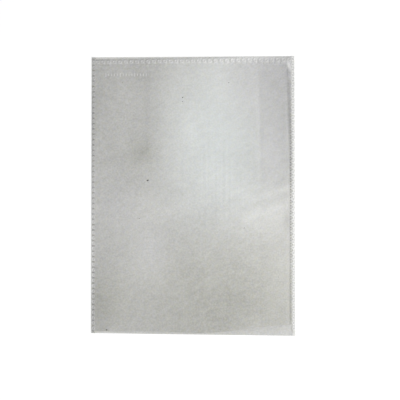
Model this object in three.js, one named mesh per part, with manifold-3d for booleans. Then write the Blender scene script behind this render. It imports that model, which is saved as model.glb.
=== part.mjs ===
// A flat plastic pocket for one A6 sheet: a back film and a front film welded together along
// the left side, the closed end and the right side by rows of round dots. The fourth side is
// the open mouth. The pocket lies on its back film, empty, with the front film a little raised.
//
// Millimetres. X runs across the pocket, Y runs from the mouth (-Y) to the closed end (+Y), and
// Z points up from the surface that the pocket lies on. The origin is the middle of the underside.
//
// The front film is cut along its weld rows into fixed margins and one panel, because the panel
// lifts: it turns about the closed end when the mouth is opened.

import * as THREE from "three";
import { mergeVertices } from "three/addons/utils/BufferGeometryUtils.js";
import Module from "manifold-3d";

// Both films
const POCKET_WIDTH = 111.5;
const POCKET_HEIGHT = 152.5;
const FILM_THICKNESS = 0.25;

// Welded margins of the front film
const LEFT_MARGIN_WIDTH = 2;
const RIGHT_MARGIN_WIDTH = 1.8;
const TOP_MARGIN_WIDTH = 4.2; // from the back film's edge

// Weld dots: pads with a raised rim and a sunk middle, oval in the side rows
const SIDE_DOT_LENGTH = 2.1; // along the row
const SIDE_DOT_WIDTH = 1.6;
const TOP_DOT_DIAMETER = 2.1;
const DOT_HEIGHT = 0.15;
const DOT_DISH_DEPTH = 0.12;
const DOT_SIDES = 8;
const SIDE_DOT_PITCH = 2.94;
const TOP_DOT_PITCH = 3.1;
const SIDE_DOT_END_SPACE = 1.5; // from the film's corner to the middle of the first dot, at least
const TOP_DOT_END_SPACE = 1.1; // from the side margin to the middle of the first dot, at least
const RIGHT_ROW_SHIFT = 1.4; // the right row lies half a step nearer to the closed end than the left
const LEFT_DOT_SETBACK = 1; // from the back film's edge to the middle of the dots
const RIGHT_DOT_SETBACK = 0.9;
const TOP_DOT_SETBACK_AT_LEFT = 2.6; // the top row runs a little aslant
const TOP_DOT_SETBACK_AT_RIGHT = 1.65;
const TOP_DOT_TO_FILM_EDGE = 1.5; // the front film's edge at the closed end runs along the top row

// Front panel
const PANEL_GAP = 0.3; // running gap between the panel and the margins round it
const MOUTH_LIP = 1.1; // the back film stands out past the front film at the mouth
const MOUTH_NOTCH_DEPTH = 4.9; // the front film is cut back by this much more at the right
const MOUTH_NOTCH_LENGTH = 48;

// How the front film stands off the back film
const CROWN_HEIGHT = 6;
const CROWN_RISE_LENGTH = 80; // from the closed end to where the crown has its full height
const CROWN_PEAK_FROM_LEFT = 62;
const FLANK_WIDTH = 1.9; // the steep strip beside the right weld
const FLANK_RISE = 2.1;
const ROLL_HEIGHT = 0.9; // the low roll between the flank and the crease
const ROLL_RISE_LENGTH = 12;
const CREASE_FROM_RIGHT = 19.2;

// Facets of the front panel, across and along
const COLUMNS_LEFT_OF_CREASE = 20;
const COLUMNS_RIGHT_OF_CREASE = 4;
const COLUMNS_ON_FLANK = 5;
const PANEL_ROWS = 26;

// Places that follow from the sizes
const leftEdge = -POCKET_WIDTH / 2;
const rightEdge = POCKET_WIDTH / 2;
const mouthEdge = -POCKET_HEIGHT / 2;
const closedEdge = POCKET_HEIGHT / 2;
const backTop = FILM_THICKNESS;
const marginTop = 2 * FILM_THICKNESS;
const leftMarginEnd = leftEdge + LEFT_MARGIN_WIDTH;
const rightMarginEnd = rightEdge - RIGHT_MARGIN_WIDTH;
const topMarginEnd = closedEdge - TOP_MARGIN_WIDTH;
const panelLeft = leftMarginEnd + PANEL_GAP;
const panelRight = rightMarginEnd - PANEL_GAP;
const panelClosedEnd = topMarginEnd - PANEL_GAP;
const flankStart = panelRight - FLANK_WIDTH;
const crease = rightEdge - CREASE_FROM_RIGHT;
const crownPeak = leftEdge + CROWN_PEAK_FROM_LEFT;

const { smoothstep, lerp, clamp } = THREE.MathUtils;

const manifoldLibrary = await Module();
manifoldLibrary.setup();

// A closed geometry as a solid that can be joined to another.
function solidFrom(geometry) {
  const bare = geometry.clone();
  bare.deleteAttribute("normal");
  bare.deleteAttribute("uv");
  const merged = mergeVertices(bare);
  return new manifoldLibrary.Manifold(
    new manifoldLibrary.Mesh({
      numProp: 3,
      vertProperties: merged.attributes.position.array,
      triVerts: new Uint32Array(merged.index.array),
    }),
  );
}

function geometryFrom(solid) {
  const mesh = solid.getMesh();
  const geometry = new THREE.BufferGeometry();
  geometry.setAttribute("position", new THREE.BufferAttribute(mesh.vertProperties, 3));
  geometry.setIndex(new THREE.BufferAttribute(mesh.triVerts, 1));
  geometry.computeVertexNormals();
  return geometry;
}

// A flat piece of film between two corners, standing on the level `bottom`.
function flatFilm(left, right, near, far, bottom) {
  const film = new THREE.BoxGeometry(right - left, far - near, FILM_THICKNESS);
  film.translate((left + right) / 2, (near + far) / 2, bottom + FILM_THICKNESS / 2);
  return film;
}

// One weld dot, sunk halfway into the margin that carries it.
function weldDot(x, y, width, length) {
  const root = backTop + FILM_THICKNESS / 2;
  const rim = marginTop + DOT_HEIGHT;
  const profile = [
    new THREE.Vector2(0, root),
    new THREE.Vector2(0.5, root),
    new THREE.Vector2(0.5, rim),
    new THREE.Vector2(0, rim - DOT_DISH_DEPTH),
  ];
  const dot = new THREE.LatheGeometry(profile, DOT_SIDES);
  dot.rotateX(Math.PI / 2);
  dot.scale(width, length, 1);
  dot.translate(x, y, 0);
  return dot;
}

// Evenly spaced places at one pitch, centred between two ends.
function rowPlaces(start, end, pitch) {
  const steps = Math.floor((end - start) / pitch);
  const first = (start + end - steps * pitch) / 2;
  return Array.from({ length: steps + 1 }, (_, i) => first + i * pitch);
}

// A margin of the front film with its weld dots, as one solid.
function weldedMargin(film, dotCentres, dotWidth, dotLength) {
  const dots = dotCentres.map(([x, y]) => solidFrom(weldDot(x, y, dotWidth, dotLength)));
  return geometryFrom(dots.reduce((joined, dot) => joined.add(dot), solidFrom(film)));
}

function sideMargin(left, right, dotX, rowShift) {
  const start = mouthEdge + SIDE_DOT_END_SPACE;
  const end = closedEdge - SIDE_DOT_END_SPACE;
  const centres = rowPlaces(start, end, SIDE_DOT_PITCH).map((y) => [dotX, y + rowShift]);
  const film = flatFilm(left, right, mouthEdge, closedEdge, backTop);
  return weldedMargin(film, centres, SIDE_DOT_WIDTH, SIDE_DOT_LENGTH);
}

// The line of the top row of dots, as a place in Y for each place in X.
function topRowLine(x) {
  const along = (x - leftMarginEnd) / (rightMarginEnd - leftMarginEnd);
  return closedEdge - lerp(TOP_DOT_SETBACK_AT_LEFT, TOP_DOT_SETBACK_AT_RIGHT, along);
}

function topMargin() {
  const start = leftMarginEnd + TOP_DOT_END_SPACE;
  const end = rightMarginEnd - TOP_DOT_END_SPACE;
  const centres = rowPlaces(start, end, TOP_DOT_PITCH).map((x) => [x, topRowLine(x)]);
  const outline = new THREE.Shape([
    new THREE.Vector2(leftMarginEnd, topMarginEnd),
    new THREE.Vector2(rightMarginEnd, topMarginEnd),
    new THREE.Vector2(rightMarginEnd, topRowLine(rightMarginEnd) + TOP_DOT_TO_FILM_EDGE),
    new THREE.Vector2(leftMarginEnd, topRowLine(leftMarginEnd) + TOP_DOT_TO_FILM_EDGE),
  ]);
  const film = new THREE.ExtrudeGeometry(outline, { depth: FILM_THICKNESS, bevelEnabled: false });
  film.translate(0, 0, backTop);
  return weldedMargin(film, centres, TOP_DOT_DIAMETER, TOP_DOT_DIAMETER);
}

// The front film's free edge: straight, then cut back in a soft curve towards the right weld.
function mouthLine(x) {
  const cutBack = smoothstep(x, panelRight - MOUTH_NOTCH_LENGTH, panelRight);
  return mouthEdge + MOUTH_LIP + MOUTH_NOTCH_DEPTH * cutBack;
}

// How far the underside of the front film stands off the back film.
function standOff(x, y) {
  const fromClosedEnd = panelClosedEnd - y;
  const fromRight = panelRight - x;
  const flank = smoothstep(fromRight, 0, FLANK_WIDTH);
  const shoulder = smoothstep(fromRight, 0, panelRight - crownPeak);
  const leftSlope = smoothstep(x, panelLeft, crownPeak);
  const rise = smoothstep(fromClosedEnd, 0, CROWN_RISE_LENGTH);
  const crown = rise * leftSlope * (FLANK_RISE * flank + (CROWN_HEIGHT - FLANK_RISE) * shoulder);
  const rollFall = clamp((x - crease) / (flankStart - crease), 0, 1);
  const roll = ROLL_HEIGHT * flank * rollFall * smoothstep(fromClosedEnd, 0, ROLL_RISE_LENGTH);
  return crown + roll;
}

// Places of the panel's facet columns: closest together on the steep flank.
function columnPlace(column) {
  if (column <= COLUMNS_LEFT_OF_CREASE) {
    return lerp(panelLeft, crease, column / COLUMNS_LEFT_OF_CREASE);
  }
  const pastCrease = column - COLUMNS_LEFT_OF_CREASE;
  if (pastCrease <= COLUMNS_RIGHT_OF_CREASE) {
    return lerp(crease, flankStart, pastCrease / COLUMNS_RIGHT_OF_CREASE);
  }
  return lerp(flankStart, panelRight, (pastCrease - COLUMNS_RIGHT_OF_CREASE) / COLUMNS_ON_FLANK);
}

// A box with one unit per facet, whose corners are then moved to their places on the film.
function frontPanel() {
  const columns = COLUMNS_LEFT_OF_CREASE + COLUMNS_RIGHT_OF_CREASE + COLUMNS_ON_FLANK;
  const panel = new THREE.BoxGeometry(columns, PANEL_ROWS, 1, columns, PANEL_ROWS, 1);
  const corners = panel.attributes.position;
  for (let i = 0; i < corners.count; i += 1) {
    const column = Math.round(corners.getX(i) + columns / 2);
    const row = Math.round(corners.getY(i) + PANEL_ROWS / 2);
    const x = columnPlace(column);
    const y = lerp(mouthLine(x), panelClosedEnd, row / PANEL_ROWS);
    const underside = backTop + standOff(x, y);
    corners.setXYZ(i, x, y, corners.getZ(i) > 0 ? underside + FILM_THICKNESS : underside);
  }
  panel.computeVertexNormals();
  return panel;
}

// Materials
function frostedFilm(color) {
  return new THREE.MeshStandardMaterial({ color, roughness: 0.45, metalness: 0 });
}

function weldedFilm() {
  return new THREE.MeshStandardMaterial({ color: 0xdcdddb, roughness: 0.3, metalness: 0 });
}

function piece(name, geometry, material) {
  const mesh = new THREE.Mesh(geometry, material);
  mesh.name = name;
  return mesh;
}

const backFilm = flatFilm(leftEdge, rightEdge, mouthEdge, closedEdge, 0);
const leftMargin = sideMargin(leftEdge, leftMarginEnd, leftEdge + LEFT_DOT_SETBACK, 0);
const rightMargin = sideMargin(
  rightMarginEnd,
  rightEdge,
  rightEdge - RIGHT_DOT_SETBACK,
  RIGHT_ROW_SHIFT,
);

const pocket = new THREE.Group();
pocket.add(piece("back_film", backFilm, frostedFilm(0xc6c8c5)));
pocket.add(piece("front_film_left_margin", leftMargin, weldedFilm()));
pocket.add(piece("front_film_top_margin", topMargin(), weldedFilm()));
pocket.add(piece("front_film_right_margin", rightMargin, weldedFilm()));
pocket.add(piece("front_film_panel", frontPanel(), frostedFilm(0xbfc1be)));

export default pocket;
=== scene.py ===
# %% [markdown]
# # A welded plastic pocket
#
# This lesson builds a small frosted pocket for one sheet of paper. The real thing is only two sheets
# of film, a back and a front, melted together along three sides by rows of round weld dots. The
# fourth side is the open mouth. So there is no hidden mechanism to model: everything that makes it
# look real is in the way the front film stands off the back one, in the dots, and in the film itself.
#
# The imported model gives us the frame: a back film, three welded margins and one moving panel. We keep
# their sizes and places, and give each of them a finer skin.

# %% Load the frame
import math

import bpy
from mathutils import Matrix, Quaternion, Vector


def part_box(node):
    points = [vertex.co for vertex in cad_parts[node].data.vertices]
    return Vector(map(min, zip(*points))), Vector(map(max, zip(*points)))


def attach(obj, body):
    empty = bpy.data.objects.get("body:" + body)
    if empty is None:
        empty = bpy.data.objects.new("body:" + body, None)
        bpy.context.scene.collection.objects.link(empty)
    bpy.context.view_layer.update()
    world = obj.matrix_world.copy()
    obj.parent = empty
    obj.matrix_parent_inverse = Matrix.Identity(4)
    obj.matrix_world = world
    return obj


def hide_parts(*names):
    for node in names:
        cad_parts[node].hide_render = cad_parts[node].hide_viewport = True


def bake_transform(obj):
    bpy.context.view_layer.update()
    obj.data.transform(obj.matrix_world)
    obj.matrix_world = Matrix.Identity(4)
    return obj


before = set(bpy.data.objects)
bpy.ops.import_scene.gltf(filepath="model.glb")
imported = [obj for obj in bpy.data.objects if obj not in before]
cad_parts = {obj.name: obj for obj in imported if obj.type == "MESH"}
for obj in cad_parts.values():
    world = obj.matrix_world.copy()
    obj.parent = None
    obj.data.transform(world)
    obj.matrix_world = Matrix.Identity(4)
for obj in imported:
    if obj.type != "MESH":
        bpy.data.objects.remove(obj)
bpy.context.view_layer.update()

# %% [markdown]
# ## Sizes
#
# Lengths are in metres, and `MM` lets us write them in millimetres. Whatever the frame already knows
# is asked of the frame, so that a skin can't drift away from its solid. Only the sizes of the dots
# are written again here, because a box can't tell how many dots lie in it.

# %% Sizes
MM = 0.001

back_low, back_high = (Vector(corner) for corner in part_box("back_film"))
left_low, left_high = (Vector(corner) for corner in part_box("front_film_left_margin"))
right_low, right_high = (Vector(corner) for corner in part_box("front_film_right_margin"))
top_low, top_high = (Vector(corner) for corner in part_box("front_film_top_margin"))
panel_low, panel_high = (Vector(corner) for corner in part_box("front_film_panel"))

film = back_high.z - back_low.z  # thickness
front_level = back_high.z + film  # the front film's upper face, where it lies on the back film
film_left, film_right = left_high.x, right_low.x  # between the side welds
closed_line = panel_high.y  # where the moving panel meets the weld at the closed end

side_dot_radius = 1.07 * MM  # along the row
side_dot_squeeze = 0.76  # width over length
top_dot_radius = 1.07 * MM
side_pitch = 2.94 * MM
top_pitch = 3.1 * MM
left_dot_x = back_low.x + 1.0 * MM
right_dot_x = back_high.x - 0.9 * MM
right_row_shift = 1.4 * MM  # the right row lies about half a step nearer to the closed end
top_dot_y_at_left = back_high.y - 2.6 * MM
top_dot_y_at_right = back_high.y - 1.65 * MM
side_end_space = 1.5 * MM
top_end_space = 1.1 * MM

print("one film is", round(film / MM, 3), "mm thick")

# %% [markdown]
# ## Helpers for edit mode
#
# Modelling by hand means: make one object active, pick some of its vertices or faces, use a tool.
# With no window there is no mouse to pick with, so `pick` does it by a rule, such as "the faces that
# look up". It always clears the old choice first, because an operator acts on all that is selected.
#
# Every piece starts as a primitive that is brought to size, some are repeated along a row by an Array
# modifier, some are joined, and all are cleaned at the end. Each of these is one helper too.

# %% Picking
facing = 0.9  # a face looks along an axis if this much of its normal lies along it
on_edge = 0.1 * MM  # what is nearer to an edge than this lies on it


def only(piece):
    bpy.ops.object.select_all(action="DESELECT")
    piece.select_set(True)
    bpy.context.view_layer.objects.active = piece


def pick(piece, kind, rule):
    """Select the vertices (VERT) or faces (FACE) for which the rule holds, in edit mode."""
    bpy.ops.object.mode_set(mode="EDIT")
    bpy.ops.mesh.select_mode(type=kind)
    bpy.ops.mesh.select_all(action="DESELECT")
    bpy.ops.object.mode_set(mode="OBJECT")
    for item in piece.data.vertices if kind == "VERT" else piece.data.polygons:
        item.select = rule(item)
    bpy.ops.object.mode_set(mode="EDIT")


# %% Starting, repeating, joining and finishing
doubles_distance = 0.002 * MM


def begin(add, scale=(1, 1, 1), **settings):
    """Add a primitive and bring it to size, with its place and scale in its mesh."""
    bpy.ops.object.select_all(action="DESELECT")
    add(**settings)
    piece = bpy.context.object
    piece.scale = scale
    bpy.ops.object.transform_apply(location=True, rotation=True, scale=True)
    return piece


def apply_modifier(piece, modifier):
    only(piece)
    bpy.ops.object.modifier_apply(modifier=modifier.name)


def repeat_along(piece, step, count, merge_distance=0):
    """Repeat a piece, each copy one step on from the last, and merge them where they touch."""
    repeat = piece.modifiers.new("repeat", "ARRAY")
    repeat.count = count
    repeat.use_relative_offset = False
    repeat.use_constant_offset = True
    repeat.constant_offset_displace = step
    if merge_distance:
        repeat.use_merge_vertices = True
        repeat.merge_threshold = merge_distance
    apply_modifier(piece, repeat)


def joined(pieces):
    only(pieces[0])
    for piece in pieces:
        piece.select_set(True)
    bpy.ops.object.join()
    return pieces[0]


def done(piece, name, angle=40):
    """Leave edit mode, name the piece, merge doubles, turn its faces out and smooth it."""
    bpy.ops.object.mode_set(mode="EDIT")
    bpy.ops.mesh.select_all(action="SELECT")
    bpy.ops.mesh.remove_doubles(threshold=doubles_distance)
    bpy.ops.mesh.normals_make_consistent(inside=False)
    bpy.ops.object.mode_set(mode="OBJECT")
    bpy.ops.object.shade_smooth_by_angle(angle=math.radians(angle))
    piece.name = piece.data.name = name
    print(name, "has", len(piece.data.polygons), "faces")


# %% [markdown]
# ## Rows of dots
#
# A welding wheel leaves its dots at one pitch, so a row is known by its first dot, the step to the
# next one and their number. The row along the closed end runs a little aslant, as on the real pocket,
# because the film lay a bit skew under the wheel.

# %% Where the dots are
def row(start, end, pitch):
    """First dot, step and number of the dots between two points, centred between them."""
    start, end = Vector(start), Vector(end)
    steps = math.floor((end - start).length / pitch)
    step = (end - start).normalized() * pitch
    first = (start + end - steps * step) / 2
    return first, step, steps + 1


def side_row(x, shift=0):
    start = back_low.y + side_end_space + shift
    end = back_high.y - side_end_space + shift
    return row((x, start, 0), (x, end, 0), side_pitch)


def top_row_point(x):
    share = (x - film_left) / (film_right - film_left)
    return x, top_dot_y_at_left + share * (top_dot_y_at_right - top_dot_y_at_left), 0


left_row = side_row(left_dot_x)
right_row = side_row(right_dot_x, right_row_shift)
top_row = row(top_row_point(film_left + top_end_space), top_row_point(film_right - top_end_space), top_pitch)
print("dots: left", left_row[2], "right", right_row[2], "closed end", top_row[2])

# %% [markdown]
# ## A welded margin
#
# Each margin is a narrow strip of the front film with a row of craters in it: the hot pin presses the
# film down, and the melt it pushes aside stands up round the pin as a rim. We model one crater in one
# square tile and let an Array modifier repeat it.
#
# The tile starts as a cube. Its top face is inset, cut into nine, melted back into one face that now
# has twelve corners, and pushed out to a circle with To Sphere. From there every ring of the crater is
# one more inset: a little inwards, and up or down. For the side rows, whose dots are oval, the whole
# tile is then squeezed across the row.

# %% One crater
crater = [  # inwards as a share of the dot's radius, up
    (0.12, 0.11 * MM),
    (0.10, 0.04 * MM),
    (0.11, -0.03 * MM),
    (0.13, -0.15 * MM),
    (0.16, -0.04 * MM),
]
square_to_circle = 1.174  # mean distance of the twelve corners from the middle, for a half side of 1


def weld_tile(centre, pitch, radius, squeeze):
    """One tile with a crater. The faces of the dot get the second finish, the others the first."""
    tile = begin(
        bpy.ops.mesh.primitive_cube_add, (pitch, pitch, film),
        size=1, location=(centre.x, centre.y, front_level - film / 2))
    pick(tile, "FACE", lambda face: face.normal.z > facing)
    bpy.ops.mesh.inset(thickness=pitch / 2 - radius / square_to_circle)
    bpy.ops.mesh.subdivide(number_cuts=2)
    bpy.ops.mesh.dissolve_faces()
    bpy.ops.transform.tosphere(value=1)
    for inwards, up in crater:
        bpy.ops.mesh.inset(thickness=inwards * radius, depth=up)
    bpy.ops.object.mode_set(mode="OBJECT")
    for face in tile.data.polygons:
        in_dot = (face.center - centre).xy.length < radius and face.normal.z > 0
        face.material_index = 1 if in_dot else 0
    pick(tile, "VERT", lambda vertex: True)
    bpy.ops.transform.resize(value=(squeeze, 1, 1), center_override=centre)
    bpy.ops.object.mode_set(mode="OBJECT")
    return tile


# %% [markdown]
# ## From a tile to a strip
#
# The two ends of the tile are opened, so that the copies join into one strip. Then the strip's sides
# are flattened onto the film's real edges, with the old trick of scaling by zero, and its ends are
# closed. Only the outer edge at the closed end is left as the tiles make it, because there the film's
# edge runs aslant with its row of dots.

# %% A strip of craters
tile_join = 0.05 * MM
beyond_dot = 1.03  # what is further from the row than this share of a dot's radius is the strip's side
end_share = 0.45  # what is this share of the pitch beyond the last dot is the strip's end


def flatten(piece, axis, place, rule):
    """Scale the picked vertices by zero along one axis, onto a plane at `place`."""
    pick(piece, "VERT", rule)
    factor = [1, 1, 1]
    factor[axis] = 0
    centre = [0, 0, 0]
    centre[axis] = place
    bpy.ops.transform.resize(value=factor, center_override=centre)
    bpy.ops.object.mode_set(mode="OBJECT")


def weld_margin(name, dots, radius, squeeze, along, sides, ends):
    """A strip with a row of craters. `along` is 0 for a row in X and 1 for a row in Y.

    A side that is None stays as the tiles leave it, parallel to the row.
    """
    first, step, count = dots
    across = 1 - along
    pitch = step.length
    strip = weld_tile(first, pitch, radius, squeeze)
    pick(strip, "FACE", lambda face: abs(face.normal[along]) > facing)
    bpy.ops.mesh.delete(type="FACE")
    bpy.ops.object.mode_set(mode="OBJECT")
    repeat_along(strip, step, count, tile_join)

    slope = step[across] / step[along]
    clear_of_dots = beyond_dot * radius * squeeze
    start = first[along] - end_share * pitch
    finish = first[along] + (count - 1) * step[along] + end_share * pitch

    def from_row(vertex):
        return vertex.co[across] - first[across] - slope * (vertex.co[along] - first[along])

    side_rules = (lambda v: from_row(v) < -clear_of_dots, lambda v: from_row(v) > clear_of_dots)
    for place, rule in zip(sides, side_rules):
        if place is not None:
            flatten(strip, across, place, rule)
    end_rules = (lambda v: v.co[along] < start, lambda v: v.co[along] > finish)
    for place, rule in zip(ends, end_rules):
        flatten(strip, along, place, rule)
        pick(strip, "VERT", rule)
        bpy.ops.mesh.edge_face_add()
        bpy.ops.object.mode_set(mode="OBJECT")
    done(strip, name, angle=50)
    return strip


# %% The three margins
left_margin = weld_margin(
    "welded_margin_left", left_row, side_dot_radius, side_dot_squeeze, along=1,
    sides=(left_low.x, left_high.x), ends=(left_low.y, left_high.y))
right_margin = weld_margin(
    "welded_margin_right", right_row, side_dot_radius, side_dot_squeeze, along=1,
    sides=(right_low.x, right_high.x), ends=(right_low.y, right_high.y))
top_margin = weld_margin(
    "welded_margin_top", top_row, top_dot_radius, squeeze=1, along=0,
    sides=(closed_line, None), ends=(top_low.x, top_high.x))

# %% [markdown]
# ## The back film
#
# The back film is the simple half: a flat sheet that the pocket lies on. The pins press through to it,
# so its underside has a shallow dimple under every dot. A dimple is cut with a Boolean modifier: one
# blunt cone, repeated along each of the three rows, is taken away from the sheet.

# %% The back film
dimple_radius = 0.8 * MM
dimple_bottom = 0.65  # radius at the bottom over radius at the face
dimple_depth = 0.06 * MM
dimple_sides = 12


def dimple_row(dots):
    first, step, count = dots
    cutter = begin(
        bpy.ops.mesh.primitive_cone_add, vertices=dimple_sides, radius1=dimple_radius,
        radius2=dimple_bottom * dimple_radius, depth=2 * dimple_depth,
        location=(first.x, first.y, back_low.z))
    repeat_along(cutter, step, count)
    return cutter


back_film = begin(
    bpy.ops.mesh.primitive_cube_add, back_high - back_low, size=1, location=(back_low + back_high) / 2)
for dots in (left_row, right_row, top_row):
    cutter = dimple_row(dots)
    cut = back_film.modifiers.new("dimples", "BOOLEAN")
    cut.operation = "DIFFERENCE"
    cut.solver = "EXACT"
    cut.object = cutter
    apply_modifier(back_film, cut)
    bpy.data.objects.remove(cutter)
done(back_film, "back_sheet")

# %% [markdown]
# ## The front film
#
# An empty pocket never lies quite flat. The front film is a touch wider than the back, so it rises in
# a long low crown from the closed end towards the mouth, falls off steeply beside the right weld, and
# has a low roll between that flank and a crease. That form is a smooth hill, which no extrude or bevel
# gives, so the vertices of a flat grid are lifted by a height formula, the same one that the solid has.
#
# Before that, while the grid is flat, two things are done to it by hand. Bisect adds columns of
# vertices where the form is tight: on the flank and at the crease. And the corner of the mouth is
# pulled back with proportional editing, so the cut edge swings up in a soft curve towards the weld.

# %% A flat grid
cell = 1.0 * MM
mouth_lip = 0.9 * MM
flank_width = 1.9 * MM
flank_columns = 7
crease_x = back_high.x - 19.2 * MM
crease_columns = [-1.6 * MM, -0.5 * MM, 0, 0.5 * MM, 1.6 * MM]

mouth_y = back_low.y + mouth_lip
width = film_right - film_left
length = closed_line - mouth_y

sheet = begin(
    bpy.ops.mesh.primitive_grid_add, (width, length, 1), size=1,
    x_subdivisions=round(width / cell), y_subdivisions=round(length / cell),
    location=((film_left + film_right) / 2, (mouth_y + closed_line) / 2, front_level))

columns = [film_right - flank_width * (i + 0.5) / flank_columns for i in range(flank_columns)]
columns += [crease_x + offset for offset in crease_columns]
for place in columns:
    pick(sheet, "FACE", lambda face: True)
    bpy.ops.mesh.bisect(plane_co=(place, 0, 0), plane_no=(1, 0, 0))
bpy.ops.object.mode_set(mode="OBJECT")
print("flat front film:", len(sheet.data.vertices), "vertices")

# %% The swung mouth
mouth_pulls = [  # place in X, back towards the closed end, reach
    (film_right, 5.4 * MM, 52 * MM),
    (-8 * MM, 0.8 * MM, 60 * MM),
    (-25 * MM, 0.16 * MM, 24 * MM),
]


def pull(move, reach):
    """Move the picked vertices, and their neighbours within reach along with them."""
    bpy.ops.transform.translate(
        value=move, use_proportional_edit=True,
        proportional_edit_falloff="SMOOTH", proportional_size=reach)
    bpy.ops.object.mode_set(mode="OBJECT")


mouth_edge = [v.index for v in sheet.data.vertices if v.co.y < mouth_y + on_edge]
for place, back, reach in mouth_pulls:
    nearest = min(mouth_edge, key=lambda index: abs(sheet.data.vertices[index].co.x - place))
    pick(sheet, "VERT", lambda v: v.index == nearest)
    pull((0, back, 0), reach)
mouth_cut = max(sheet.data.vertices[index].co.y for index in mouth_edge) - mouth_y
print("the mouth is cut back by", round(mouth_cut / MM, 2), "mm")

# %% [markdown]
# ## How high the film stands
#
# The height is made of smooth steps. `rise` grows from the closed end, where the films are welded,
# towards the mouth. `left_slope` and `shoulder` shape the crown across the pocket, and `flank` brings
# it down beside the right weld. The roll is added on top.

# %% The height formula
crown_height = 6 * MM
crown_rise_length = 80 * MM
crown_peak_x = back_low.x + 62 * MM
flank_rise = 2.1 * MM
roll_height = 0.9 * MM
roll_rise_length = 12 * MM


def soft_step(value, low, high):
    share = min(max((value - low) / (high - low), 0), 1)
    return share * share * (3 - 2 * share)


def stand_off(x, y):
    """How far the front film stands off the back film at rest."""
    panel_left, panel_right = panel_low.x, panel_high.x
    from_right = panel_right - x
    from_closed_end = closed_line - y
    flank = soft_step(from_right, 0, flank_width)
    shoulder = soft_step(from_right, 0, panel_right - crown_peak_x)
    left_slope = soft_step(x, panel_left, crown_peak_x)
    rise = soft_step(from_closed_end, 0, crown_rise_length)
    crown = rise * left_slope * (flank_rise * flank + (crown_height - flank_rise) * shoulder)
    roll_share = min(max((x - crease_x) / (panel_right - flank_width - crease_x), 0), 1)
    roll = roll_height * flank * roll_share * soft_step(from_closed_end, 0, roll_rise_length)
    return crown + roll


for vertex in sheet.data.vertices:
    vertex.co.z = front_level + stand_off(vertex.co.x, vertex.co.y)
highest = max(v.co.z for v in sheet.data.vertices) - front_level
print("the front film stands off by", round(highest / MM, 2), "mm")

# %% [markdown]
# ## Creases and buckles
#
# Thin film takes up its spare width in small buckles. Each one here is a line on the film: the
# vertices near the line are moved up or down, and proportional editing lets the neighbours follow.
# The welded edges are hidden first, because hidden vertices stay where they are.

# %% Creases and buckles
buckles = [  # from, to, lift, reach, all in millimetres
    ((37.6, 6.0), (35.9, 70.5), -0.12, 1.7),
    ((51.0, -2.8), (29.0, -8.8), 0.32, 4.6),
    ((52.6, 6.8), (47.5, 5.6), 0.26, 3.2),
    ((51.5, 2.2), (42.0, -1.0), -0.16, 3.0),
    ((50.4, 71.0), (53.2, 66.8), 0.40, 2.4),
    ((-20.0, -33.0), (9.0, -25.0), 0.16, 6.0),
    ((-12.0, -41.0), (22.0, -33.0), -0.14, 6.0),
]
line_width = 0.55 * cell  # just over half a cell, so that a line finds a vertex in each row


def distance_to_line(point, start, end):
    along = end - start
    share = min(max((point - start).dot(along) / along.length_squared, 0), 1)
    return (point - start - share * along).length


def from_weld(place):
    return min(place.x - film_left, film_right - place.x, closed_line - place.y)


only(sheet)
pick(sheet, "VERT", lambda v: from_weld(v.co) < on_edge)
bpy.ops.mesh.hide()
bpy.ops.object.mode_set(mode="OBJECT")
for start, end, lift, reach in buckles:
    start, end = Vector(start) * MM, Vector(end) * MM
    pick(sheet, "VERT", lambda v: not v.hide and distance_to_line(v.co.xy, start, end) < line_width)
    pull((0, 0, lift * MM), reach * MM)
bpy.ops.object.mode_set(mode="EDIT")
bpy.ops.mesh.reveal(select=False)
bpy.ops.object.mode_set(mode="OBJECT")
print("pressed", len(buckles), "buckles into the front film")

# %% [markdown]
# ## Two halves
#
# The front film is one sheet, but it has to do two things at once: stay closed at both side welds and
# rise in the middle when the mouth is opened. Here the sheet is bisected down its middle into two
# halves, and Solidify gives them the film's thickness.

# %% Two halves
seam_x = 0.0


def half_of(whole, name, keep_left):
    only(whole)
    bpy.ops.object.duplicate()
    half = bpy.context.object
    pick(half, "FACE", lambda face: True)
    bpy.ops.mesh.bisect(
        plane_co=(seam_x, 0, 0), plane_no=(1, 0, 0), clear_outer=keep_left, clear_inner=not keep_left)
    bpy.ops.object.mode_set(mode="OBJECT")
    wall = half.modifiers.new("thickness", "SOLIDIFY")
    wall.thickness = film
    wall.offset = -1
    apply_modifier(half, wall)
    done(half, name)
    return half


front_left = half_of(sheet, "front_sheet_left", True)
front_right = half_of(sheet, "front_sheet_right", False)
bpy.data.objects.remove(sheet)

# %% [markdown]
# ## Raised strokes
#
# Near the closed end the real film carries a short line of raised marks, hardly visible. Ours is a
# plain scale of short strokes, where every fifth stroke is longer. One stroke is a cube with bevelled
# edges, a little sunk in the film. An Array repeats it once for each group of five.

# %% Raised strokes
stroke_width = 0.42 * MM
stroke_height = 0.16 * MM
stroke_sunk = 0.3  # share of its height that lies in the film
stroke_bevel = 0.05 * MM
stroke_pitch = 1.6 * MM
strokes_in_group = 5
group_count = 3
short_stroke = 1.3 * MM
long_stroke = 2.3 * MM
first_stroke = Vector((-48.0 * MM, 66.6 * MM, front_level + (0.5 - stroke_sunk) * stroke_height))


def stroke_in_each_group(number):
    """The stroke with this number in its group, repeated from group to group."""
    stroke_length = long_stroke if number == 0 else short_stroke
    stroke = begin(
        bpy.ops.mesh.primitive_cube_add, (stroke_width, stroke_length, stroke_height),
        size=1, location=first_stroke + Vector((number * stroke_pitch, 0, 0)))
    pick(stroke, "FACE", lambda face: True)
    bpy.ops.mesh.bevel(offset=stroke_bevel, segments=1)
    bpy.ops.object.mode_set(mode="OBJECT")
    repeat_along(stroke, (strokes_in_group * stroke_pitch, 0, 0), group_count)
    return stroke


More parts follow.
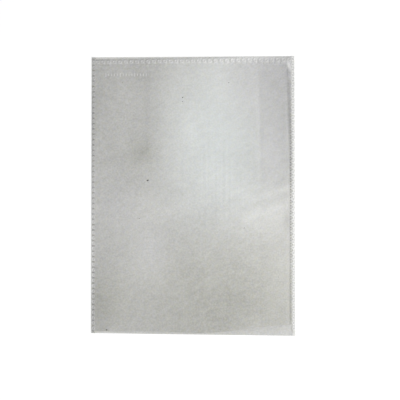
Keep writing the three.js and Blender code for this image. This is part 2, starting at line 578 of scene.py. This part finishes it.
strokes = joined([stroke_in_each_group(number) for number in range(strokes_in_group)])
done(strokes, "raised_strokes")

# %% [markdown]
# ## Dust
#
# A few dark flecks of dust lie on the film. Each is an icosphere pressed flat and roughened with
# Randomize, whose seed is fixed so that the dust lies the same way each time. The flecks on each half
# of the film are one piece.

# %% Dust
flecks_left = [  # x, y, length, width in millimetres, turn in degrees
    (-5.5, 53.9, 0.75, 0.50, 40),
    (-5.5, 51.7, 0.50, 0.38, 0),
    (-24.4, 8.3, 1.60, 0.75, 5),
    (-47.3, -74.3, 0.95, 0.65, 10),
    (-29.1, -12.6, 0.40, 0.32, 0),
    (-38.6, 62.2, 0.40, 0.30, 20),
]
flecks_right = [
    (28.1, -17.4, 0.50, 0.34, 60),
    (19.8, 62.0, 0.60, 0.36, 45),
    (46.6, -44.0, 0.36, 0.30, 0),
]
fleck_height = 0.12 * MM
fleck_roughness = 0.06 * MM


def dust(name, flecks):
    lumps = []
    for seed, (x, y, long, wide, turn) in enumerate(flecks):
        x, y = x * MM, y * MM
        lump = begin(
            bpy.ops.mesh.primitive_ico_sphere_add, (long * MM, wide * MM, fleck_height),
            subdivisions=2, radius=0.5, location=(x, y, front_level + stand_off(x, y)),
            rotation=(0, 0, math.radians(turn)))
        pick(lump, "VERT", lambda v: True)
        bpy.ops.transform.vertex_random(offset=fleck_roughness, seed=seed)
        bpy.ops.object.mode_set(mode="OBJECT")
        lumps.append(lump)
    specks = joined(lumps)
    done(specks, name)
    return specks


dust_left = dust("dust_left", flecks_left)
dust_right = dust("dust_right", flecks_right)

# %% [markdown]
# ## A map that sticks to the film
#
# The film's mottling has to stay on the film when the mouth is lifted, so its patterns don't read the
# object's coordinates but a UV map of their own: simply where each point lay on the flat pocket, in
# metres. All film pieces get the same map, so a cloud runs on from one piece to the next.
#
# On the steep flank such a map is drawn out, and fine grain would turn into a comb. So each point keeps
# its height at rest too, as an attribute, and the fine grain is taken from a solid noise.

# %% The flat map
def lay_flat_map(piece):
    layers = piece.data.uv_layers
    flat = layers[0] if layers else layers.new()
    flat.name = "flat_film"
    for loop in piece.data.loops:
        flat.data[loop.index].uv = piece.data.vertices[loop.vertex_index].co.xy
    height = piece.data.attributes.new("rest_height", "FLOAT", "POINT")
    for vertex in piece.data.vertices:
        height.data[vertex.index].value = vertex.co.z


pieces = (
    back_film, left_margin, top_margin, right_margin, front_left, front_right,
    strokes, dust_left, dust_right,
)
for piece in pieces:
    lay_flat_map(piece)
print("laid the flat map on", len(pieces), "pieces")

# %% [markdown]
# ## Not quite square
#
# No such pocket is cut quite square: on the real one the mouth runs a little aslant and the right side
# leans out towards it, by half a millimetre. So all pieces are put in one cage, a Lattice with a point
# at each corner of the pocket, and the corners are moved. It comes after the maps, so that the patterns
# move along with the film.

# %% Not quite square
corner_moves = {  # which corner, and its move in X and Y
    (-1, 1): (0.12 * MM, -0.18 * MM),
    (1, 1): (-0.17 * MM, -0.10 * MM),
    (-1, -1): (-0.03 * MM, 0.44 * MM),
    (1, -1): (0.58 * MM, -0.27 * MM),
}
bpy.ops.object.select_all(action="DESELECT")
bpy.ops.object.add(type="LATTICE", location=(back_low + back_high) / 2)
cage = bpy.context.object
cage.scale = back_high - back_low
cage.data.interpolation_type_u = cage.data.interpolation_type_v = "KEY_LINEAR"
for point in cage.data.points:
    corner = (int(math.copysign(1, point.co.x)), int(math.copysign(1, point.co.y)))
    move_x, move_y = corner_moves[corner]
    point.co_deform.x += move_x / cage.scale.x
    point.co_deform.y += move_y / cage.scale.y
bpy.context.view_layer.update()
for piece in pieces:
    skew = piece.modifiers.new("skew", "LATTICE")
    skew.object = cage
    apply_modifier(piece, skew)
bpy.data.objects.remove(cage)
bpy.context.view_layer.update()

# %% [markdown]
# ## What rides on what
#
# The back film and the margins are one fixed body, the pocket, and their solids are hidden. The two
# halves of the front film, the strokes and the dust have their places baked into their meshes, and the
# moving panel's solid is hidden.

for piece, solid in (
    (back_film, "back_film"),
    (left_margin, "front_film_left_margin"),
    (top_margin, "front_film_top_margin"),
    (right_margin, "front_film_right_margin"),
):
    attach(piece, "pocket")
    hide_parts(solid)

for piece in (front_left, strokes, dust_left):
    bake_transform(piece)
for piece in (front_right, dust_right):
    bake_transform(piece)
for piece in (front_left, front_right):
    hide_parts("front_film_panel")

# %% [markdown]
# ## Patches of tone
#
# The film is polypropylene with a fine frost. It isn't one grey: it is mottled like paper, streaked
# along its length where it ran over the rollers, and in broad patches lighter or darker, partly where
# it is more milky and partly as painted sheen and painted shade of the light on its low hills. Each of
# these is one layer of nodes, added to the last, so it is easy to turn one up or down.
#
# A `cloud` is a broad patch: a soft round or oval spot with a middle and a reach. A `ledge` is a cloud
# with one straight side that runs along the pocket, or leans. `spots` follow a row of dots, all along
# it or only inside a window, which is a cloud again. All of them read the flat map through a Mapping
# node, and their sizes are in millimetres. The lists of layers are written with `patch`, `stepped` and
# `dotted`, which say how much a cloud, a ledge or a row of spots adds.

# %% Small builders for nodes
def node(tree, kind, inputs, output=0, **settings):
    """Make a node. An input is a value or another node's output."""
    made = tree.nodes.new("ShaderNode" + kind)
    for key, value in settings.items():
        setattr(made, key, value)
    for key, value in inputs.items():
        if isinstance(value, bpy.types.NodeSocket):
            tree.links.new(value, made.inputs[key])
        else:
            made.inputs[key].default_value = value
    return made.outputs[output]


def times(tree, first, second):
    return node(tree, "Math", {0: first, 1: second}, operation="MULTIPLY")


def add_layer(tree, base, layer, amount):
    """The base plus the layer times the amount."""
    return node(tree, "Math", {0: layer, 1: amount, 2: base}, operation="MULTIPLY_ADD")


# %% Clouds, ledges and spots
def soft_spot(tree, local):
    """1 at the middle of the local coordinates, falling softly to 0 at a distance of 1."""
    distance = node(tree, "VectorMath", {0: local}, output="Value", operation="LENGTH")
    return node(
        tree, "MapRange", {"Value": distance, "From Min": 1, "From Max": 0, "To Min": 0, "To Max": 1},
        interpolation_type="SMOOTHSTEP")


def cloud(tree, flat, middle, reach, turn=0):
    """An oval patch. The turn is in degrees."""
    return soft_spot(tree, node(
        tree, "Mapping",
        {"Vector": flat, "Location": (middle[0] * MM, middle[1] * MM, 0),
         "Rotation": (0, 0, math.radians(turn)), "Scale": (reach[0] * MM, reach[1] * MM, 1)},
        vector_type="TEXTURE"))


def ledge(tree, flat, place, width, middle, reach, lean=0):
    """A cloud that is cut off to the left of a line along the pocket, over a soft step.

    The line crosses the cloud's middle at `place` and leans to the left by this share of its length.
    """
    across = node(tree, "SeparateXYZ", {0: flat}, output="X")
    along = node(tree, "SeparateXYZ", {0: flat}, output="Y")
    line = place + lean * middle[1]
    step = node(
        tree, "MapRange",
        {"Value": add_layer(tree, across, along, lean),
         "From Min": (line - width / 2) * MM, "From Max": (line + width / 2) * MM},
        interpolation_type="SMOOTHSTEP")
    return times(tree, step, cloud(tree, flat, middle, reach))


def spots(tree, flat, dots, reach, phase=0.5, across=0, window=None):
    """Oval spots along a row of dots: with phase 0 on the dots, with phase 0.5 between them.

    `across` moves them to the left of the row's direction. A window is the cloud that they lie in.
    """
    first, step, count = dots
    local = node(
        tree, "Mapping",
        {"Vector": flat, "Location": first, "Rotation": (0, 0, math.atan2(step.y, step.x)),
         "Scale": (step.length, MM, 1)},
        vector_type="TEXTURE")
    steps = node(tree, "SeparateXYZ", {0: local}, output="X")
    aside = node(tree, "SeparateXYZ", {0: local}, output="Y")
    steps = node(tree, "Math", {0: steps, 1: 0.5 - phase}, operation="ADD")
    steps = node(tree, "Math", {0: steps}, operation="FRACT")
    pitch = step.length / MM
    along = add_layer(tree, -0.5 * pitch / reach[0], steps, pitch / reach[0])
    aside = add_layer(tree, -across / reach[1], aside, 1 / reach[1])
    made = soft_spot(tree, node(tree, "CombineXYZ", {"X": along, "Y": aside}))
    if window:
        made = times(tree, made, cloud(tree, flat, *window))
    return made


# %% Lists of layers
def patch(amount, middle, reach, turn=0):
    """An entry of a list: how much the layer adds, its builder, and what the builder is told."""
    return amount, cloud, dict(middle=middle, reach=reach, turn=turn)


def stepped(amount, place, width, middle, reach, lean=0):
    return amount, ledge, dict(place=place, width=width, middle=middle, reach=reach, lean=lean)


def dotted(amount, dots, reach, **more):
    return amount, spots, dict(dots=dots, reach=reach, **more)


def add_layers(tree, flat, level, layers):
    for amount, kind, settings in layers:
        level = add_layer(tree, level, kind(tree, flat, **settings), amount)
    return level


# %% [markdown]
# ## Grain and tint
#
# The frost itself is noise: fine grain, coarser mottling, and streaks, which are noise drawn out along
# the pocket. Noise finer than a millimetre reads the height at rest as well, as said above.
#
# The grey isn't neutral either. It is a little yellow near the mouth and a little blue-green on the
# crown. A tint patch mixes such a tint over the others, with a cloud as the factor. Over them lies a
# faint speckle of colour, one noise in the red and another in the blue.

# %% Grain and tint
solid_below = 1  # millimetres


def grain(tree, flat, size, detail=3, stretch=(1, 1), turn=0):
    """Noise from -0.5 to 0.5 with patches of about `size` millimetres, solid where it is fine."""
    local = node(
        tree, "Mapping",
        {"Vector": flat, "Rotation": (0, 0, math.radians(turn)), "Scale": (*stretch, 1)},
        vector_type="TEXTURE")
    noise = node(
        tree, "TexNoise", {"Vector": local, "Scale": 1 / (size * MM), "Detail": detail},
        noise_dimensions="3D" if size < solid_below else "2D")
    return node(tree, "Math", {0: noise, 1: 0.5}, operation="SUBTRACT")


def tinted(tree, base, tint, amount):
    """Mix a tint over the base, which is a plain tint too or the output of an earlier mix."""
    if not isinstance(base, bpy.types.NodeSocket):
        base = (*base, 1)
    return node(
        tree, "Mix", {"Factor": amount, "A": base, "B": (*tint, 1)}, output="Result", data_type="RGBA")


# %% Start and end of a finish
film_ior = 1.49


def new_finish(name):
    """The finish, its nodes, its shader, and the flat map with the height at rest."""
    finish = bpy.data.materials.new(name)
    finish.use_nodes = True
    tree = finish.node_tree
    flat = node(tree, "UVMap", {}, uv_map="flat_film")
    height = node(tree, "Attribute", {}, output="Fac", attribute_name="rest_height")
    flat = node(tree, "VectorMath", {0: height, 1: (0, 0, 1), 2: flat}, operation="MULTIPLY_ADD")
    return finish, tree, tree.nodes["Principled BSDF"], flat


def coloured(tree, tint, level):
    return node(tree, "VectorMath", {0: tint, "Scale": level}, operation="SCALE")


def set_film(tree, shader, colour, rough, alpha):
    tree.links.new(colour, shader.inputs["Base Color"])
    tree.links.new(rough, shader.inputs["Roughness"])
    shader.inputs["Alpha"].default_value = alpha
    shader.inputs["IOR"].default_value = film_ior


# %% [markdown]
# ## The frosted film
#
# The front film's layers follow the real pocket from place to place. A patch is given as its amount,
# middle, reach and turn, and a ledge as its amount, line, width, middle and reach. The gloss is uneven
# too, and a Bump node adds a fine relief. The film also lets a little of what is under it through,
# which is a plain Alpha on the shader.

# %% Milky patches and painted light
milky_and_painted_light_layers = [
    # the crown, the palest part: a painted sheen, with some milkier film
    patch(0.13, (11, 36), (46, 82)),
    stepped(0.08, -17, 11, (10, 44), (64, 60)),
    patch(0.05, (-12, 5), (34, 50)),
    patch(0.05, (16, 9), (27, 16)),
    patch(0.045, (14, 66), (16, 24)),
    patch(0.03, (0, 35), (9, 22)),
    patch(0.022, (5, 27), (28, 40)),
    # the strip between the crease and the right weld: painted shade right of the crease
    stepped(-0.035, 36.2, 0.7, (44, 56), (30, 48), lean=0.03),
    patch(0.028, (43, 22), (14, 34)),
    # a painted glint on the pucker at the corner by the closed end
    patch(0.27, (52.9, 71.0), (1.7, 4.8), turn=19),
    # the dark spot at the left, and the darker film round it
    patch(-0.065, (-28, 22.8), (8, 9)),
    patch(-0.04, (-28.5, 24), (13, 16)),
    patch(-0.025, (-22.4, 26), (9, 24)),
    patch(-0.03, (-41, 20.5), (19, 4), turn=17),
    patch(-0.03, (-25, 50), (3, 42)),
    patch(-0.03, (-31, 68), (8, 16)),
    patch(-0.025, (-24.6, 66), (18, 14)),
    # the paler film from there to the mouth
    patch(0.028, (-29, -12), (26, 19)),
    patch(0.035, (-26, -4), (20, 13)),
    stepped(0.04, -34.5, 3, (-24, -37), (15, 30)),
    patch(0.05, (-23, -36), (22, 48), turn=25),
    # the bright band that runs in from the right weld: a painted highlight along the buckles there
    patch(0.12, (40, -8), (34, 22), turn=15),
    patch(0.06, (50, -20), (20, 60)),
    patch(0.045, (-1, -5), (36, 9), turn=19),
    patch(0.03, (27, 2), (17, 12)),
    patch(0.03, (47, -41), (9, 17), turn=-20),
    # the darker film near the mouth
    patch(-0.10, (12, -66), (70, 50)),
    patch(-0.055, (26, -57), (22, 28)),
    patch(-0.045, (14, -71), (15, 11)),
    patch(-0.025, (17, -34), (15, 14)),
    # the darker left edge
    patch(-0.11, (-56, -60), (22, 50)),
    patch(-0.06, (-54, 60), (20, 60)),
    patch(-0.035, (-49, -57), (14, 13)),
    patch(-0.025, (-47, -67), (16, 14)),
]
print("the film has", len(milky_and_painted_light_layers), "milky and painted light layers")

# %% Painted shade on the flank beside the right weld
weld_middle = ((54, -2), (30, 76))  # where the right weld's pattern is strongest
weld_foot = patch(0.10, (53.88, -24), (0.5, 55), turn=-0.3)  # where the flank meets the weld
# painted shade: a dark band along the steep flank beside the right weld, with a paler line at its foot
flank_shade_layers = [
    patch(-0.15, (52.4, 54), (1.35, 34), turn=1.0),
    patch(-0.12, (53.3, 0), (0.95, 130)),
    patch(0.07, (53.3, -12), (0.95, 55)),
    patch(-0.05, (52.9, -60), (0.9, 26)),
    patch(-0.03, (52.6, 30), (1.3, 26)),
    weld_foot,
    patch(-0.09, (51.8, -13), (3.5, 10)),
]
for phase in (0.27, 0.73):  # two painted shadows of folds at each dot, where the film is drawn to it
    flank_shade_layers.append(
        dotted(-0.44, right_row, (0.6, 0.6), phase=phase, across=1.3, window=weld_middle))

# %% Tints
plain_tint = (1.0, 1.0, 0.967)
tint_patches = [  # tint, middle, reach
    ((0.960, 1.0, 0.985), (14, 30), (50, 80)),
    ((1.0, 1.0, 1.0), (46, 70), (44, 50)),
    ((1.0, 1.0, 0.92), (24, -58), (80, 58)),
    ((0.995, 1.0, 0.94), (-28, 23), (15, 15)),
    ((1.0, 1.0, 0.93), (-45, -58), (20, 26)),
    ((1.0, 1.0, 0.985), (-42, -5), (20, 22)),
    ((1.0, 1.0, 0.985), (-22, -29), (14, 20)),
    ((1.0, 1.0, 1.0), (44, 28), (14, 34)),
]

# %% The frosted finish
frost_size = 0.87  # this and the sizes below are in millimetres
frost_strength = 0.265
frost_fading = -0.09
fading_zone = ((24, 34), (56, 70))  # the frost is fainter here
mottling = [  # amount, size, detail, stretch, turn
    (0.10, 3.4, 3, (1.7, 0.8), 28),
    (0.05, 16, 2, (1, 1), 0),
]
streak_width = 1.5
streak_stretch = 60
streak_strength = 0.09
streak_zone = ((10, 10), (36, 44))
speckle_strength = (0.045, 0.0, 0.10)  # in red, green and blue
red_speckle_size = 1.5
blue_speckle_size = 1.7
blue_speckle_turn = 50
gloss_size = 2.2
gloss_change = 0.18
relief_size = 0.9
relief_depth = 0.06 * MM
relief_strength = 0.35


def frosted_level(tree, flat, tone, layers):
    """The film's lightness: its tone, frost, mottling and streaks, and the layers."""
    frost = add_layer(tree, frost_strength, cloud(tree, flat, *fading_zone), frost_fading)
    level = add_layer(tree, tone, grain(tree, flat, frost_size, detail=2), frost)
    for amount, size, detail, stretch, turn in mottling:
        level = add_layer(tree, level, grain(tree, flat, size, detail, stretch, turn), amount)
    streaks = grain(tree, flat, streak_width, detail=1, stretch=(1, streak_stretch))
    streaks = times(tree, streaks, cloud(tree, flat, *streak_zone))
    level = add_layer(tree, level, streaks, streak_strength)
    return add_layers(tree, flat, level, layers)


def film_finish(name, tone, roughness, alpha, layers, tints=()):
    finish, tree, shader, flat = new_finish(name)
    level = frosted_level(tree, flat, tone, layers)
    tint = plain_tint
    for other_tint, middle, reach in tints:
        tint = tinted(tree, tint, other_tint, cloud(tree, flat, middle, reach))
    red = grain(tree, flat, red_speckle_size, detail=1)
    blue = grain(tree, flat, blue_speckle_size, detail=1, turn=blue_speckle_turn)
    speckle = node(tree, "CombineXYZ", {"X": red, "Z": blue})
    colour = node(
        tree, "VectorMath", {0: speckle, 1: speckle_strength, 2: coloured(tree, tint, level)},
        operation="MULTIPLY_ADD")
    rough = add_layer(tree, roughness, grain(tree, flat, gloss_size, detail=2), gloss_change)
    set_film(tree, shader, colour, rough, alpha)

    relief = node(tree, "TexNoise", {"Vector": flat, "Scale": 1 / (relief_size * MM), "Detail": 3})
    bump = node(tree, "Bump", {"Height": relief, "Strength": relief_strength, "Distance": relief_depth})
    tree.links.new(bump, shader.inputs["Normal"])
    print(name, "has", len(tree.nodes), "nodes")
    return finish


front_finish = film_finish(
    "frosted_front_film", tone=0.562, roughness=0.46, alpha=0.88,
    layers=milky_and_painted_light_layers + flank_shade_layers, tints=tint_patches)
back_finish = film_finish(
    "frosted_back_film", tone=0.685, roughness=0.50, alpha=0.86,
    layers=[patch(-0.055, (41, -75), (19, 7))])  # its bare lip is darker at the right

# %% [markdown]
# ## Fused dots, strokes and dust
#
# Where the pins melted the film the frost is gone: the dots are smoother and paler. The strokes are
# pressed from the same smooth film. The dust is plain, dark and dull.

# %% Fused dots, strokes and dust
fused_tint = (1.0, 1.0, 0.99)
fused_alpha = 0.93
fused_grain_size = 0.7  # millimetres, as all sizes of grain
fused_gloss_size = 0.5
fused_gloss_change = 0.15
dust_tint = (1.0, 0.94, 0.86)
dust_tone = 0.07
dust_roughness = 0.85
dust_grain_size = 0.25
grain_strength = 0.08  # on the dots, the strokes and the dust


def fused_finish(name, tone, roughness, layers=()):
    finish, tree, shader, flat = new_finish(name)
    level = add_layer(tree, tone, grain(tree, flat, fused_grain_size, detail=2), grain_strength)
    level = add_layers(tree, flat, level, layers)
    gloss = grain(tree, flat, fused_gloss_size, detail=1)
    rough = add_layer(tree, roughness, gloss, fused_gloss_change)
    set_film(tree, shader, coloured(tree, fused_tint, level), rough, fused_alpha)
    print(name, "has", len(tree.nodes), "nodes")
    return finish


def dust_finish():
    finish, tree, shader, flat = new_finish("dark_dust")
    level = add_layer(tree, dust_tone, grain(tree, flat, dust_grain_size, detail=2), grain_strength)
    tree.links.new(coloured(tree, dust_tint, level), shader.inputs["Base Color"])
    shader.inputs["Roughness"].default_value = dust_roughness
    return finish


stroke_finish = fused_finish("raised_stroke_film", tone=0.68, roughness=0.35)
dust_dark = dust_finish()

# %% [markdown]
# ## The welds' own layers
#
# The dots of the right row are painted nearly white, a painted highlight where that weld catches the
# light, so each margin gets its own film and its own dots. A margin has tones, which its film and its
# dots share; at the closed end and on the right they are mostly painted shade and painted highlights.
# Its film has gap shadows: between two dots the films part by a hair, and painted shade there makes a
# small dark spot. Its dots have dot shading: a dark spot of painted shade, a little smaller than the
# dot, leaves its rim as a pale ring, a painted highlight.

# %% Left weld
left_lower = ((-55, -36), (20, 44))  # where the left weld's dots get painted pale rims and darker middles
left_tones = [
    patch(-0.06, (-55, 38), (6, 55)),
    patch(0.10, (-55.1, -44), (0.7, 40)),
    patch(-0.14, (-55.8, 30), (0.6, 80)),
    patch(-0.05, (-54.0, -30), (0.5, 55)),
]
left_gap_shadows = [
    # painted shade between the dots
    dotted(-0.20, left_row, (0.75, 1.15), across=0.1),
    dotted(-0.07, left_row, (0.6, 1.1), across=0.2, window=left_lower),
]
left_dot_shading = [
    # painted shade in the dots' middles, and in the lower part pale rims as painted highlights
    dotted(-0.07, left_row, (0.8, 0.6), phase=0),
    dotted(0.10, left_row, (1.25, 1.0), phase=0, window=left_lower),
    dotted(-0.12, left_row, (0.7, 0.5), phase=0, across=-0.15, window=left_lower),
]

# %% Weld at the closed end
top_shade_and_highlights = [
    # painted shade above the dots and a painted shadow band below them, then a paler strip along the edge at
    # the right
    dotted(-0.12, top_row, (1.9, 0.7), phase=0, across=0.9, window=((-50, 74), (90, 40))),
    dotted(-0.07, top_row, (8, 1.3), phase=0, across=-1.9, window=((-50, 74), (75, 40))),
    patch(0.14, (33, 76.4), (27, 3.2)),
    patch(0.10, (31, 76.2), (32, 0.9)),
]
top_gap_shadows = [
    # painted shadows of the dots below the row at the right, and painted shade between the dots
    dotted(-0.13, top_row, (0.5, 0.9), across=-1.9, window=((50, 74), (40, 40))),
    dotted(-0.06, top_row, (0.7, 1.2)),
]
top_dot_shading = [
    # a painted sheen on the dots right of the middle, and painted shade in their middles
    patch(0.05, (22, 75), (18, 12)),
    dotted(-0.04, top_row, (0.9, 0.6), phase=0),
]

# %% Right weld
right_tones_and_highlights = [
    # mostly painted highlights along the outer side of the row, with darker strips
    dotted(0.07, right_row, (9, 0.8), across=-0.75),
    patch(0.03, (55, 52), (4, 40)),
    patch(0.09, (55.2, -12), (0.7, 75)),
    patch(-0.08, (54.15, 26), (0.6, 24)),
    weld_foot,
    patch(-0.12, (55.35, 62), (0.55, 28)),
    patch(0.07, (54.95, -35), (0.45, 65)),
    patch(-0.12, (55.7, -52), (0.45, 45)),
]
right_gap_shadows = [
    # painted shade between the dots, darkest in the middle of the row
    dotted(-0.10, right_row, (0.6, 0.7), across=0.75),
    dotted(-0.32, right_row, (0.6, 0.7), across=0.75, window=weld_middle),
]
# painted shade in each dot's middle
right_dot_shading = [dotted(-0.36, right_row, (0.8, 0.5), phase=0, across=0.12)]
# painted highlights at both ends of each dot, on its rim
for phase in (0.3, 0.7):  # a pale tip at both ends of each dot
    right_dot_shading.append(dotted(0.12, right_row, (0.4, 0.5), phase=phase, across=0.12))

# %% Dressing the pieces
pressed_film = dict(roughness=0.38, alpha=0.90)
fused_roughness = 0.30


def dress(piece, body_slot, *finishes):
    """Give a bare piece its finishes. Its faces already know which of them is theirs."""
    for finish in finishes:
        piece.data.materials.append(finish)


dress(back_film, "back_film", back_finish)
dress(
    left_margin, "welded_film",
    film_finish(
        "pressed_film_left", tone=0.57, layers=milky_and_painted_light_layers + left_tones + left_gap_shadows,
        tints=tint_patches, **pressed_film),
    fused_finish(
        "fused_dots_left", tone=0.60, roughness=fused_roughness,
        layers=milky_and_painted_light_layers + left_tones + left_dot_shading))
dress(
    top_margin, "welded_film",
    film_finish(
        "pressed_film_top", tone=0.57, layers=milky_and_painted_light_layers + top_shade_and_highlights + top_gap_shadows,
        tints=tint_patches, **pressed_film),
    fused_finish(
        "fused_dots_top", tone=0.61, roughness=fused_roughness,
        layers=milky_and_painted_light_layers + top_shade_and_highlights + top_dot_shading))
dress(
    right_margin, "welded_film",
    film_finish("pressed_film_right", tone=0.72, layers=right_tones_and_highlights + right_gap_shadows, **pressed_film),
    fused_finish(
        "fused_dots_right", tone=0.80, roughness=fused_roughness, layers=right_tones_and_highlights + right_dot_shading))
for half in (front_left, front_right):
    dress(half, "front_film", front_finish)
dress(strokes, "front_film", stroke_finish)
for specks in (dust_left, dust_right):
    dress(specks, "front_film", dust_dark)

# %% [markdown]
# ## The table
#
# The pocket lies on a plain white table. The table's diffuse part takes the pocket's shadow, and a
# little glow that only the camera, reflections and clear film see lifts it to pure white. More light
# would do that too, but it would bleach the film.

# %% Table
table_size = 6
table_drop = 0.2 * MM  # keeps the table clear of the back film
table_grey = 0.78
table_roughness = 0.9
table_glow = 0.34


def white_for_camera(tree):
    """1 for rays from the camera, from reflections and through clear film, 0 for all other rays."""
    seen = tree.nodes.new("ShaderNodeLightPath").outputs
    first = node(tree, "Math", {0: seen["Is Camera Ray"], 1: seen["Is Glossy Ray"]}, operation="MAXIMUM")
    return node(tree, "Math", {0: first, 1: seen["Is Transmission Ray"]}, operation="MAXIMUM")


table = begin(bpy.ops.mesh.primitive_plane_add, size=table_size, location=(0, 0, -table_drop))
table.name = table.data.name = "table"
paint = bpy.data.materials.new("white_table")
paint.use_nodes = True
surface = paint.node_tree.nodes["Principled BSDF"]
surface.inputs["Base Color"].default_value = (table_grey, table_grey, table_grey, 1)
surface.inputs["Roughness"].default_value = table_roughness
surface.inputs["Specular IOR Level"].default_value = 0.0
surface.inputs["Emission Color"].default_value = (1, 1, 1, 1)
glow = times(paint.node_tree, white_for_camera(paint.node_tree), table_glow)
paint.node_tree.links.new(glow, surface.inputs["Emission Strength"])
table.data.materials.append(paint)
print("the table is", table_size, "m wide")

# %% [markdown]
# ## The light
#
# The light is a big soft panel high beside the mouth, on the right, plus the even light of a white
# room. At this level a grey of 0.5 renders as about 0.5. Coming from the right, the panel lights the
# slope beside the right weld and leaves the long left slope a little darker.

# %% Light
room_level = 0.55
panel_place = Vector((0.35, -0.25, 0.60))
panel_size = 0.45
panel_power = 3.2

world = bpy.data.worlds.new("white_room")
world.use_nodes = True
bpy.context.scene.world = world
room = world.node_tree.nodes["Background"]
room.inputs["Color"].default_value = (1, 1, 1, 1)
strength = add_layer(world.node_tree, room_level, white_for_camera(world.node_tree), 1 - room_level)
world.node_tree.links.new(strength, room.inputs["Strength"])

light = bpy.data.lights.new("panel_beside_mouth", "AREA")
light.shape = "SQUARE"
light.size = panel_size
light.energy = panel_power
lamp = bpy.data.objects.new("panel_beside_mouth", light)
bpy.context.scene.collection.objects.link(lamp)
lamp.location = panel_place
lamp.rotation_euler = (-panel_place).to_track_quat("-Z", "Y").to_euler()
print("the panel is", round(panel_place.length, 2), "m away")

# %% [markdown]
# ## The camera
#
# The photograph was taken from nearly straight above. Where the camera stood follows from the four
# corners of the pocket: the side that is nearer to the camera looks a little longer. What that leaves
# over is the skew that the cage above gives the pocket. The camera is turned by hand rather than by a
# constraint, so that its small roll can be given.

# %% Camera
camera_place = Vector((0.03434, -0.00243, 0.60896))
camera_aim = Vector((0.00406, -0.00237, 0.0))
camera_roll = math.radians(0.072)
lens = 100
sensor_width = 36

eye = bpy.data.cameras.new("camera")
eye.lens = lens
eye.sensor_width = sensor_width
camera = bpy.data.objects.new("camera", eye)
bpy.context.scene.collection.objects.link(camera)
camera.location = camera_place
forward = (camera_aim - camera_place).normalized()
right = forward.cross(Vector((0, 1, 0))).normalized()
right = Quaternion(forward, -camera_roll) @ right
up = right.cross(forward)
camera.rotation_euler = Matrix((right, up, -forward)).transposed().to_euler()
bpy.context.scene.camera = camera
bpy.context.scene.view_settings.view_transform = "Standard"
tilt = math.degrees(math.acos(-forward.z))
print("the camera looks", round(tilt, 1), "degrees off straight down")
